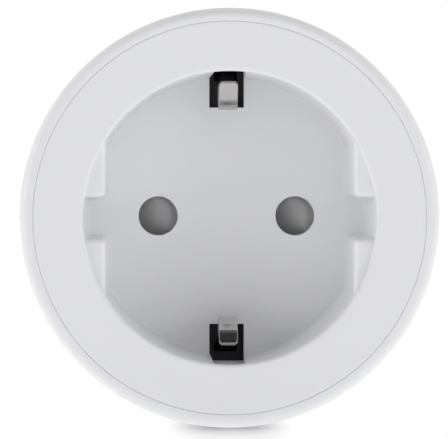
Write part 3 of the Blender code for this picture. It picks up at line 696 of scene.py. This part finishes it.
def make_socket_face():
    face = socket_face_body()
    cut(face, *[pin_hole_cutter(side) for side in (-1, 1)], *[window_cutter(sign) for sign in (-1, 1)])
    added = []
    for x, z in POSTS:
        bore_end = POST_END - BORE_LENGTH
        profile = [(0, POST_START), (POST_RADIUS, POST_START), (POST_RADIUS, POST_END)]
        profile += [(SCREW_BORE, POST_END), (SCREW_BORE, bore_end), (0, bore_end)]
        added.append(turned(f"post_{x}_{z}", profile, 40, (x, z)))
    for x, z in STAKES:
        added.append(cylinder(f"stake_{x}", STAKE_RADIUS, FLOOR_BACK - 1, STAKE_END, 32, (x, z)))
    fuse(face, *added)
    return stand_in(face, "socket_face")


# ---- Shutter -------------------------------------------------------------------------------------


def pad_depth(x, z):
    """A shutter pad's front, from its hole's centre: a crest, a ramp down to the left, a ledge around."""
    short = RAMP_START - x * cos(radians(RAMP_TURN)) - z * sin(radians(RAMP_TURN))
    ramp = 0.5 * (hypot(short, RAMP_SOFTNESS) + short)
    dome = DOME * (x * x + z * z)
    top = PAD_DEPTH + RAMP_SLOPE * ramp + dome
    beyond = (hypot(x - CREST[0], z - CREST[1]) - CREST_RADIUS) / CREST_EDGE
    return top + (max(LEDGE_DEPTH, top) - top) * smooth_share(0.5 + beyond / 2)


def shutter_pad(side):
    x0, columns = side * PIN_X, 120
    rings = []
    for i in range(1, PAD_RINGS + 1):
        radius = PAD_REACH * i / PAD_RINGS
        turns = [2 * pi * k / columns for k in range(columns)]
        flat = [(radius * cos(turn), radius * sin(turn)) for turn in turns]
        rings.append([(x0 + x, pad_depth(x, z), z) for x, z in flat])
    rings.append([(x, shutter_high.y - PAD_BACK_INSET, z) for x, _, z in rings[-1]])
    return loft(f"pad_{side}", rings)


def shutter_plate():
    """A rounded plate with the tab that the spring pushes on."""
    low, high = shutter_low, shutter_high
    front = low.y + PLATE_SET_BACK
    half = -low.z
    right, left, up = high.x - PLATE_CORNER, low.x + PLATE_CORNER, half - PLATE_CORNER
    corners = (((right, up), 0), ((left, up), 90), ((left, -up), 180), ((right, -up), 270))
    outline = [point for centre, turn in corners for point in arc(centre, PLATE_CORNER, turn, turn + 90, 8)]
    plate = loft("shutter_slider", [[(x, depth, z) for x, z in outline] for depth in (front, high.y)])
    fuse(plate, block("tab", TAB_X, (front, high.y), (half - 1, high.z)))
    return fine_bevel(plate, PLATE_BEVEL)


def make_shutter():
    """The plate with a well behind each pin hole, a raised pad in each well and the openings beside them."""
    plate = shutter_plate()
    wells, pads, holes = [], [], []
    for side in (-1, 1):
        start = shutter_low.y + PLATE_SET_BACK - 1
        wells.append(cylinder(f"well_{side}", WELL_RADIUS, start, WELL_END, 120, (side * PIN_X, 0)))
        pads.append(shutter_pad(side))
    cut(plate, *wells)
    fuse(plate, *pads)
    for side in (-1, 1):
        centre = (side * PIN_X - SHUTTER_TRAVEL, 0)
        holes.append(cylinder(f"opening_{side}", PIN_HOLE_RADIUS, *OPENING_DEPTHS, 72, centre))
    cut(plate, *holes)
    return stand_in(plate, "shutter")


def make_shutter_spring():
    """A coil of round wire, wound along X across the spring node's box."""
    low, high = box_mm("shutter_spring")
    middle = (low + high) / 2
    radius = (high.z - low.z) / 2 - SPRING_WIRE
    across = [2 * pi * k / WIRE_COLUMNS for k in range(WIRE_COLUMNS)]
    rings = []
    for i in range(SPRING_TURNS * SPRING_STEPS + 1):
        share = i / (SPRING_TURNS * SPRING_STEPS)
        turn = 2 * pi * i / SPRING_STEPS
        out = Vector((0, cos(turn), sin(turn)))
        x = low.x + SPRING_WIRE + (high.x - low.x - 2 * SPRING_WIRE) * share
        centre = Vector((x, middle.y, middle.z)) + out * radius
        rings.append([centre + (out * cos(a) + Vector((1, 0, 0)) * sin(a)) * SPRING_WIRE for a in across])
    spring = stand_in(loft("coil_spring", rings), "shutter_spring")
    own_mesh(spring)


# ---- Earth clips and other strips ----------------------------------------------------------------


def rounded_path(points, radius, steps=14):
    """A path of (depth, z) points with each corner replaced by an arc."""
    out = [Vector(points[0])]
    for before, corner, after in zip(points, points[1:], points[2:]):
        corner = Vector(corner)
        back = (Vector(before) - corner).normalized()
        ahead = (Vector(after) - corner).normalized()
        half = back.angle(ahead) / 2
        centre = corner + (back + ahead).normalized() * radius / sin(half)
        first = corner + back * radius / tan(half) - centre
        turn = first.angle_signed(corner + ahead * radius / tan(half) - centre)
        out += [centre + first @ Matrix.Rotation(turn * step / steps, 2) for step in range(steps + 1)]
    return out + [Vector(points[-1])]


def resampled(path, step):
    """Points along a path at even steps, each as (place, direction, length so far)."""
    lengths = [0.0]
    for a, b in zip(path, path[1:]):
        lengths.append(lengths[-1] + (b - a).length)
    count = max(2, int(lengths[-1] / step))
    marks = np.linspace(0, lengths[-1], count + 1)
    xs = np.interp(marks, lengths, [p.x for p in path])
    ys = np.interp(marks, lengths, [p.y for p in path])
    places = [Vector(pair) for pair in zip(xs, ys)]
    ends = list(zip(places[:1] + places[:-1], places[1:] + places[-1:]))
    return [(place, (b - a).normalized(), mark) for place, (a, b), mark in zip(places, ends, marks)]


def section(half_width, half_thickness, edge):
    """A rounded rectangle of (across, through) points."""
    edge = min(edge, half_width * 0.9, half_thickness * 0.9)
    a, b = half_width - edge, half_thickness - edge
    corners = (((a, b), 0), ((-a, b), 90), ((-a, -b), 180), ((a, -b), 270))
    return [point for centre, start in corners for point in arc(centre, edge, start, start + 90, 4)]


def bent_strip(name, path, width_at, thickness, corner, edge=0.09, step=0.12):
    """A metal strip with rounded edges along a path. Its far end has rounded corners."""
    stations = resampled(path, step)
    total = stations[-1][2]
    rings = []

    def add(place, direction, width, inset):
        normal = Vector((-direction.y, direction.x))
        outline = section(width - inset, thickness / 2 - inset, edge)
        rings.append([(u, *(place + normal * v)) for u, v in outline])

    place, direction, _ = stations[0]
    add(place, direction, width_at(0), edge * 0.7)
    for place, direction, mark in stations[1:]:
        left = total - mark
        if left < edge:
            break
        lost = corner - sqrt(max(corner**2 - (corner - left) ** 2, 0)) if left < corner else 0.0
        add(place, direction, width_at(mark) - lost, 0)
    end, direction, _ = stations[-1]
    lost = corner - sqrt(max(corner**2 - (corner - edge) ** 2, 0)) if corner > edge else 0.0
    for angle in (0, 30, 60, 85):
        place = end - direction * edge * (1 - sin(radians(angle)))
        add(place, direction, width_at(total) - lost, edge * (1 - cos(radians(angle))))
    return loft(name, rings)


def clip_path(node, sign, bend):
    """From the foot forwards along the leg, in to the bump and out to the flared free end.

    The bump's corner moves out with the bend's radius, so that the rounded bump keeps its height.
    """
    low, high = box_mm(node)
    leg_z = (high.z if sign > 0 else low.z) - sign * CLIP_THICKNESS / 2
    corner_depth, corner_drop = (base + rate * bend for base, rate in zip(BUMP_CORNER, BUMP_CORNER_RATE))
    bump = (corner_depth, leg_z - sign * corner_drop)
    tip = (CLIP_TIP[0], leg_z - sign * CLIP_TIP[1])
    front = rounded_path([(CLIP_KNEE, leg_z), bump, tip], bend)
    return rounded_path([(high.y, leg_z), (CLIP_KNEE, leg_z), front[1]], KNEE_BEND)[:-1] + front[1:]


def make_earth_clip(side, sign):
    node = f"earth_clip_{side}"
    low, high = box_mm(node)
    half = (high.x - low.x) / 2
    path = clip_path(node, sign, CLIP_BENDS[side])

    def width_at(mark):
        wider = half - CLIP_LEG_HALF
        return CLIP_LEG_HALF + wider * smooth_share((mark - CLIP_WIDENS_AFTER) / CLIP_WIDENS_OVER)

    clip = bent_strip(f"earth_spring_clip_{side}", path, width_at, CLIP_THICKNESS, CLIP_CORNER)
    hole = cylinder(f"clip_hole_{side}", CLIP_HOLE_RADIUS, -3, 3, 40)
    cut(clip, stand_up(hole, 0, CLIP_HOLE_DEPTH, path[0].y))
    return stand_in(clip, node)


def make_plug_earth_contact(side, sign):
    node = f"plug_earth_contact_{side}"
    low, high = box_mm(node)
    near, far = (low.z, high.z) if sign > 0 else (high.z, low.z)
    half = high.x
    skin = CLIP_THICKNESS / 2
    corners = [(low.y + skin, near), (low.y + skin, far - sign * skin), (high.y, far - sign * skin)]
    path = rounded_path(corners, STRIP_BEND)
    strip = bent_strip(f"boss_earth_strip_{side}", path, lambda mark: half, CLIP_THICKNESS, CLIP_CORNER)
    return stand_in(strip, node)


# ---- Barrel casing, button and light -------------------------------------------------------------


def make_barrel_casing():
    inner = SEAM_RADIUS + SEAM_GAP / 2
    profile = [(LEDGE_RADIUS, LEDGE_DEPTHS[0]), (FACE_SEAT_RADIUS, LEDGE_DEPTHS[0])]
    profile += [(FACE_SEAT_RADIUS, SEAM_STEP + 0.1), (inner, SEAM_STEP)]
    profile += arc((inner + SEAM_CHAMFER, SEAM_CHAMFER), SEAM_CHAMFER, 180, 270, 4)
    profile += [(BARREL_RADIUS - EDGE_RADIUS - 0.2, 0)]
    profile += arc((BARREL_RADIUS - EDGE_RADIUS, EDGE_RADIUS), EDGE_RADIUS, 270, 360, 14)
    profile += [(BARREL_RADIUS, depth) for depth in (EDGE_RADIUS + 1, *BARREL_STATIONS, CASING_END - 0.4)]
    seam = REAR_SEAM_EDGE
    profile += arc((BARREL_RADIUS - seam, CASING_END - seam), seam, 0, 90, 3)
    profile += [(CASING_BORE, CASING_END), (CASING_BORE, LEDGE_DEPTHS[1]), (LEDGE_RADIUS, LEDGE_DEPTHS[1])]
    casing = turned_tube("barrel_casing_shell", profile)
    button = turned("button_hole", flared_hole(BUTTON_RADIUS + BUTTON_GAP, casing_high.z), 128)
    light = turned("light_hole", flared_hole(LIGHT_RADIUS + LIGHT_GAP, casing_high.z), 64)
    cut(casing, stand_up(button, 0, BUTTON_DEPTH), stand_up(light, LIGHT_X, BUTTON_DEPTH))
    return stand_in(casing, "barrel_casing")


def flared_hole(radius, top):
    """A hole whose rim rounds off at the barrel's surface."""
    surface_z = sqrt(top**2 - radius**2)
    edge = arc((radius + HOLE_EDGE, surface_z - HOLE_EDGE), HOLE_EDGE, 180, 90, 4)
    outside = [(radius + HOLE_EDGE + 0.5, top + 1), (0, top + 1)]
    return [(0, HOLE_START), (radius, HOLE_START)] + edge + outside


def make_power_button():
    """A cap with a rounded rim and a shallow dish, on a flange that holds it in the casing."""
    radius, flange = BUTTON_RADIUS, BUTTON_RADIUS + BUTTON_FLANGE
    low, top = button_low.z, button_high.z
    profile = [(0, low), (flange - 0.2, low), (flange, low + 0.2)]
    profile += [(flange, low + FLANGE_HEIGHT), (radius, low + FLANGE_HEIGHT + 0.05)]
    profile += arc((radius - BUTTON_RIM, top - BUTTON_RIM), BUTTON_RIM, 0, 90, 8)
    for share in (0.84, 0.78, 0.68, 0.55, 0.4, 0.2):
        profile.append((radius * share, top - DISH_DEPTH * cos(pi / 2 * share / DISH_SHARE) ** 0.8))
    profile.append((0, top - DISH_DEPTH))
    cap = turned("button_cap", profile, 128)
    return stand_in(stand_up(cap, 0, BUTTON_DEPTH), "power_button")


def make_light_pipe():
    """A clear rod with a domed top."""
    low, shoulder = light_low.z, light_high.z - LIGHT_DOME
    profile = [(0, low), (LIGHT_RADIUS, low), (LIGHT_RADIUS, shoulder)]
    for angle in range(15, 90, 15):
        rise = LIGHT_DOME * sin(radians(angle))
        profile.append((LIGHT_RADIUS * cos(radians(angle)), shoulder + rise))
    lens = turned("light_pipe_lens", profile + [(0, light_high.z)], 48)
    return stand_in(stand_up(lens, LIGHT_X, BUTTON_DEPTH), "light_pipe")


# ---- Rear cover and plug -------------------------------------------------------------------------


def boss_distance(x, z):
    """The plug's boss: a disc with side flats, a guide rib on each, an earth channel above and below."""
    across, up = np.abs(x), np.abs(z)
    flats = soft_max(np.hypot(x, z) - BOSS_RADIUS, across - BOSS_FLAT, FLAT_CORNER)
    rib = soft_max(np.hypot(x, z) - BOSS_RADIUS, up - BOSS_RIB_HALF, BOSS_CORNER)
    channel = soft_max(across - CHANNEL_HALF, CHANNEL_FLOOR - up, BOSS_CORNER)
    return soft_max(soft_min(flats, rib, BOSS_CORNER), -channel, BOSS_CORNER)


def hollow_distance(x, z):
    """The boss's hollow: its disc, flats and channels, each moved in by a wall's thickness."""
    across, up = np.abs(x), np.abs(z)
    shell = np.maximum(np.hypot(x, z) - (BOSS_RADIUS - ROUND_WALL), across - (BOSS_FLAT - FLAT_WALL))
    beside = CHANNEL_HALF + CHANNEL_SIDE_WALL - across
    return np.maximum(shell, np.minimum(up - (CHANNEL_FLOOR - CHANNEL_WALL), beside))


def boss_body():
    angles = spaced_angles(*BOSS_ANGLES)
    rings = []

    def outline(depth, offset=0.0):
        rings.append(radius_ring(angles, polar_radius(angles, boss_distance, offset), depth))

    outline(BARREL_LENGTH - 1, BOSS_FOOT)
    for angle in (0, 30, 60, 90):
        up = sin(radians(angle))
        outline(BARREL_LENGTH + BOSS_FOOT * up, BOSS_FOOT * (1 - up))
    outline(PLUG_END - 6)
    for angle in (0, 18, 36, 54, 72, 90):
        inset = BOSS_EDGE * (1 - cos(radians(angle)))
        outline(PLUG_END - BOSS_EDGE + BOSS_EDGE * sin(radians(angle)), -inset)
    rings.append(radius_ring(angles, BOSS_CORE, PLUG_END))
    return loft("boss", rings)


def chamfered_hole(name, radius, centre, start, end, chamfer=0.2):
    """A cutter for a hole whose rim at the plug's end is rounded."""
    profile = [(0, start), (radius, start)]
    profile += arc((radius + chamfer, end - chamfer), chamfer, 180, 90, 3)
    return turned(name, profile + [(radius + chamfer, end + 1), (0, end + 1)], 64, centre)


def cover_shell():
    """The barrel's rear end with the spigot that enters the casing, and the boss on it."""
    spigot = [(0.5, COVER_START), (SPIGOT_INNER, COVER_START), (SPIGOT_INNER, cover_low.y)]
    spigot += [(SPIGOT_OUTER, cover_low.y), (SPIGOT_OUTER, COVER_START)]
    seam = REAR_SEAM_EDGE
    outside = arc((BARREL_RADIUS - seam, COVER_START + seam), seam, 270, 360, 3)
    outside += arc((BARREL_RADIUS - EDGE_RADIUS, BARREL_LENGTH - EDGE_RADIUS), EDGE_RADIUS, 0, 90, 14)
    cover = turned("rear_cover_shell", spigot + outside + [(20, BARREL_LENGTH), (0.5, BARREL_LENGTH)])
    return fuse(cover, boss_body())


def hollow_cutter():
    angles = spaced_angles(*HOLLOW_ANGLES)
    radii = polar_radius(angles, hollow_distance)
    return loft("hollow", [radius_ring(angles, radii, depth) for depth in (COVER_START - 1, HOLLOW_END)])


def cover_tubes():
    """A tube that meets each post of the socket face, and the two posts that carry the pin retainer."""
    start, (foot, end) = POST_END + TUBE_GAP, TUBE_FOOT_DEPTHS
    profile = [(0, start), (TUBE_RADIUS, start), (TUBE_RADIUS, foot), (TUBE_FOOT_RADIUS, foot)]
    profile += [(TUBE_FOOT_RADIUS, end), (0, end)]
    tubes = [turned(f"screw_tube_{i}", profile, 40, centre) for i, centre in enumerate(POSTS)]
    for z in RETAINER_Z:
        tube = (RETAINER_POST_RADIUS, RETAINER_POST_START, HOLLOW_END + 1)
        tubes.append(cylinder(f"retainer_post_{z}", *tube, 32, (0, z)))
    return tubes


def cover_holes():
    """Cutters for the screws, the pins, the earth hole and the slots of the earth contacts."""
    holes = []
    for i, centre in enumerate(POSTS):
        holes.append(cylinder(f"bore_{i}", SCREW_BORE, POST_END, TUBE_FOOT_DEPTHS[1], 32, centre))
        recess = (HEAD_RECESS_RADIUS, centre, HEAD_SEAT, BARREL_LENGTH)
        holes.append(chamfered_hole(f"head_recess_{i}", *recess))
    for z in RETAINER_Z:
        holes.append(cylinder(f"retainer_bore_{z}", RETAINER_BORE, *RETAINER_BORE_DEPTHS, 32, (0, z)))
    for side in (-1, 1):
        hole = (COVER_PIN_HOLE, (side * PIN_X, 0), HOLLOW_END - 1, PLUG_END)
        holes.append(chamfered_hole(f"cover_pin_hole_{side}", *hole))
    centre, ends = (0, EARTH_HOLE_Z), (HOLLOW_END - 1, PLUG_END)
    holes.append(chamfered_hole("cover_earth_hole", EARTH_HOLE_RADIUS, centre, *ends, EARTH_HOLE_CHAMFER))
    holes.append(cylinder("earth_tube_relief", RELIEF_RADIUS, RELIEF_START, HOLLOW_END, 48, centre))
    for sign in (-1, 1):
        slot_z = sorted(sign * z for z in STRIP_SLOT_Z)
        holes.append(block(f"strip_slot_{sign}", STRIP_SLOT_X, STRIP_SLOT_DEPTHS, slot_z))
    return holes


def make_rear_cover():
    cover = cover_shell()
    cut(cover, hollow_cutter())
    fuse(cover, *cover_tubes())
    cut(cover, *cover_holes())
    return stand_in(cover, "rear_cover")


def make_plug_pin(name, side):
    """A pin with a domed tip, a flange that the retainer holds and a thin tail to the board."""
    tail, flange, fine = PIN_TAIL_RADIUS, PIN_FLANGE_RADIUS, PIN_CHAMFER
    start, end = PIN_FLANGE_DEPTHS
    profile = [(0, PIN_TAIL_START), (tail - fine, PIN_TAIL_START), (tail, PIN_TAIL_START + fine)]
    profile += [(tail, start), (flange - fine, start), (flange, start + fine)]
    profile += [(flange, end - fine), (flange - fine, end)]
    profile += [(PIN_RADIUS, end), (PIN_RADIUS, PIN_TIP - 8)]
    for angle in range(0, 90, 6):
        rise = PIN_DOME * sin(radians(angle))
        profile.append((PIN_RADIUS * cos(radians(angle)), PIN_TIP - PIN_DOME + rise))
    pin = turned(f"round_{name}", profile + [(0, PIN_TIP)], 96, (side * PIN_X, 0))
    return stand_in(pin, name)


def screw_profile(length, shaft, height, radius):
    """(radius, distance) points from the tip to the rounded head, with distance 0 under the head."""
    profile = [(0, -length), (shaft * 0.4, SCREW_POINT / 3 - length), (shaft, SCREW_POINT - length)]
    for i in range(int((length - SCREW_POINT - 0.4) / THREAD_PITCH)):
        start = SCREW_POINT + 0.2 - length + i * THREAD_PITCH
        profile += [(shaft * 0.86, start), (shaft, start + 0.2), (shaft, start + 0.28)]
    profile += [(shaft * 0.95, -0.1), (shaft, 0), (radius - 0.05, 0), (radius, 0.05)]
    return profile + arc((radius - HEAD_ROUND, height - HEAD_ROUND), HEAD_ROUND, 0, 90, 6) + [(0, height)]


def make_screw(kind, number):
    """A pan-head screw with a cross recess in its node's box; a casing screw's head is at the plug's end."""
    node = f"{kind}_screw_{number}"
    low, high = box_mm(node)
    radius = (high.x - low.x) / 2
    x0, z0 = (low.x + high.x) / 2, (low.z + high.z) / 2
    height, shaft = SCREW_SIZES[kind]
    seat, way, tip = (high.y - height, 1, low.y) if kind == "casing" else (low.y + height, -1, high.y)

    def along(distance):
        return seat + way * distance

    profile = screw_profile(abs(tip - seat), shaft, height, radius)
    screw = turned(f"cross_{node}", [(r, along(d)) for r, d in profile], 40, (x0, z0))
    arm, width = radius * CROSS_REACH, CROSS_HALF
    depth_range = sorted((along(height * 0.4), along(height + 1)))
    for i, (x, z) in enumerate(((arm, width), (width, arm))):
        cut(screw, block(f"{node}_arm_{i}", (x0 - x, x0 + x), depth_range, (z0 - z, z0 + z)))
    return stand_in(screw, node)


paint_frame()
make_socket_face()
make_barrel_casing()
make_rear_cover()
make_shutter()
make_shutter_spring()
for side, sign in (("upper", 1), ("lower", -1)):
    make_earth_clip(side, sign)
    make_plug_earth_contact(side, sign)
make_power_button()
make_light_pipe()
make_plug_pin("plug_pin_line", 1)
make_plug_pin("plug_pin_neutral", -1)
for number in range(1, len(POSTS) + 1):
    make_screw("casing", number)
for number in range(1, len(RETAINER_Z) + 1):
    make_screw("retainer", number)

# ---- Studio --------------------------------------------------------------------------------------


def make_camera():
    data = bpy.data.cameras.new("camera")
    data.lens = LENS
    data.sensor_width = 36.0
    data.clip_start = 0.01
    camera = bpy.data.objects.new("camera", data)
    bpy.context.scene.collection.objects.link(camera)
    camera.location = at(-CAMERA_LEFT, -CAMERA_DISTANCE, CAMERA_UP)
    target = at(AIM[0], 0, AIM[1])
    camera.rotation_euler = (target - camera.location).to_track_quat("-Z", "Y").to_euler()
    bpy.context.scene.camera = camera


def contact_shadow(nodes):
    """The floor's tone: white, darker along the line where the barrel lies, fading in front and behind."""
    place = nodes.add("ShaderNodeSeparateXYZ")
    nodes.link(nodes.add("ShaderNodeTexCoord").outputs["Object"], place.inputs[0])
    aside = nodes.math("ABSOLUTE", place.outputs["X"])
    near, far = (distance * MM for distance in SHADOW_HALF)
    dark = nodes.ramp(aside, near, far, SHADOW_STRENGTH, 0.0)
    before = nodes.math("SUBTRACT", FRONT_Y * MM, place.outputs["Y"])
    behind = nodes.math("SUBTRACT", place.outputs["Y"], (FRONT_Y + BARREL_LENGTH) * MM)
    outside = nodes.math("MAXIMUM", nodes.math("MAXIMUM", before, behind), 0.0)
    fade = nodes.math("EXPONENT", nodes.math("DIVIDE", outside, -SHADOW_REACH * MM))
    return nodes.math("SUBTRACT", FLOOR_TONE, nodes.math("MULTIPLY", dark, fade))


def make_floor():
    """A pale floor: the camera sees it white with a soft contact shadow, the object sees it glow."""
    mesh = bpy.data.meshes.new("floor")
    bm = bmesh.new()
    bmesh.ops.create_grid(bm, x_segments=1, y_segments=1, size=FLOOR_HALF_M)
    bm.to_mesh(mesh)
    bm.free()
    floor = from_mesh("floor", mesh)
    floor.location = (0, 0, cad_box[0].z)
    sweep = surface("white_sweep", (0.9, 0.9, 0.9), 0.6, grain=0.5, grain_height=0.001, mottle=0.004)
    shader = sweep.node_tree.nodes["Principled BSDF"]
    shader.inputs["Emission Color"].default_value = (1, 1, 1, 1)
    shader.inputs["Emission Strength"].default_value = FLOOR_GLOW
    nodes = Nodes(sweep.node_tree)
    tone = contact_shadow(nodes)
    seen = nodes.add("ShaderNodeEmission")
    nodes.link(tone, seen.inputs["Strength"])
    mix = nodes.add("ShaderNodeMixShader")
    nodes.link(nodes.add("ShaderNodeLightPath").outputs["Is Camera Ray"], mix.inputs["Fac"])
    nodes.link(shader.outputs[0], mix.inputs[1])
    nodes.link(seen.outputs[0], mix.inputs[2])
    nodes.link(mix.outputs[0], sweep.node_tree.nodes["Material Output"].inputs["Surface"])
    floor.data.materials.append(sweep)


def make_world():
    """A white background for the camera, and soft lights that only the object and the floor see."""
    world = bpy.data.worlds.new("studio")
    bpy.context.scene.world = world
    world.use_nodes = True
    nodes = Nodes(world.node_tree)
    world.node_tree.nodes.clear()
    direction = nodes.add("ShaderNodeTexCoord").outputs["Generated"]
    total = 0.0
    for azimuth, elevation, focus, strength in SOFT_LIGHTS.values():
        side, up = radians(azimuth), radians(elevation)
        toward = nodes.add("ShaderNodeVectorMath", operation="DOT_PRODUCT")
        nodes.link(direction, toward.inputs[0])
        toward.inputs[1].default_value = (sin(side) * cos(up), -cos(side) * cos(up), sin(up))
        spread = nodes.math("MULTIPLY", nodes.math("SUBTRACT", toward.outputs["Value"], 1.0), focus)
        glow = nodes.math("MULTIPLY", nodes.math("EXPONENT", spread), strength)
        total = nodes.math("ADD", glow, total)
    studio = nodes.add("ShaderNodeBackground")
    nodes.link(total, studio.inputs["Strength"])
    seen = nodes.add("ShaderNodeBackground")
    seen.inputs["Strength"].default_value = BACKGROUND_TONE
    for background in (studio, seen):
        background.inputs["Color"].default_value = (1, 1, 1, 1)
    mix = nodes.add("ShaderNodeMixShader")
    nodes.link(nodes.add("ShaderNodeLightPath").outputs["Is Camera Ray"], mix.inputs["Fac"])
    nodes.link(studio.outputs[0], mix.inputs[1])
    nodes.link(seen.outputs[0], mix.inputs[2])
    output = nodes.add("ShaderNodeOutputWorld")
    nodes.link(mix.outputs[0], output.inputs["Surface"])


make_camera()
make_floor()
make_world()
bpy.context.scene.view_settings.view_transform = "Standard"
